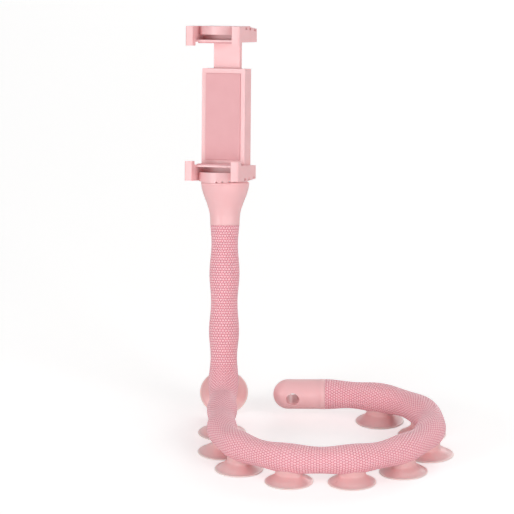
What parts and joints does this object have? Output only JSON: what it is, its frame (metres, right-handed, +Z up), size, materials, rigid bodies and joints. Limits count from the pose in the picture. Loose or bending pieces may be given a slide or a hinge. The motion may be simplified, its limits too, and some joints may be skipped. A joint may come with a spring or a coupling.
{
  "type": "flexible phone holder",
  "caption": "Bendable arm phone holder: a bulging gooseneck arm on suction cups, looped flat as a foot, with a swivelling sprung clamp on its upright end.",
  "frame": {"origin": "centre of the footprint, in the plane of the suction cups' rims", "axes": "+Z up, +X to the right and -Y to the front, as the picture looks at it"},
  "size_m": [0.166, 0.2132, 0.2392],
  "materials": {
    "core_metal": "dull drawn wire",
    "sleeve": "matte soft silicone with fine raised cells",
    "cup": "smooth, slightly clear silicone",
    "shell": "satin moulded plastic",
    "pad": "matte soft rubber",
    "steel": "plain steel"
  },
  "bodies": {
    "arm": {"arm_core": "core_metal", "arm_sleeve": "sleeve", "tail_cap": "shell", "neck_trumpet": "shell", "neck_insert": "shell", "suction_cup_1": "cup", "suction_cup_2": "cup", "suction_cup_3": "cup", "suction_cup_4": "cup", "suction_cup_5": "cup", "suction_cup_6": "cup", "suction_cup_7": "cup", "suction_cup_8": "cup", "suction_cup_9": "cup", "suction_cup_10": "cup"},
    "clamp": {"swivel_post": "steel", "friction_washer": "steel", "retaining_ring": "steel", "clamp_body": "shell", "face_plate": "shell", "back_pad": "pad", "lower_grip_pad": "pad", "housing_screws": "steel", "spring_left": "steel", "spring_right": "steel"},
    "jaw": {"upper_jaw": "shell", "upper_grip_pad": "pad"}
  },
  "joints": [
    {"name": "head_turn", "type": "hinge", "parent": "arm", "child": "clamp", "pos_m": [-0.0577, 0.06388, 0.13977], "axis": [0.0081, 0.3089, 0.9511], "continuous": true},
    {"name": "jaw_slide", "type": "slide", "parent": "clamp", "child": "jaw", "axis": [0.0081, 0.3089, 0.9511], "range_m": [-0.0162, 0.0138], "stiffness_N_per_m": 120, "springref_m": -0.045, "deforming": ["spring_left", "spring_right"]}
  ]
}
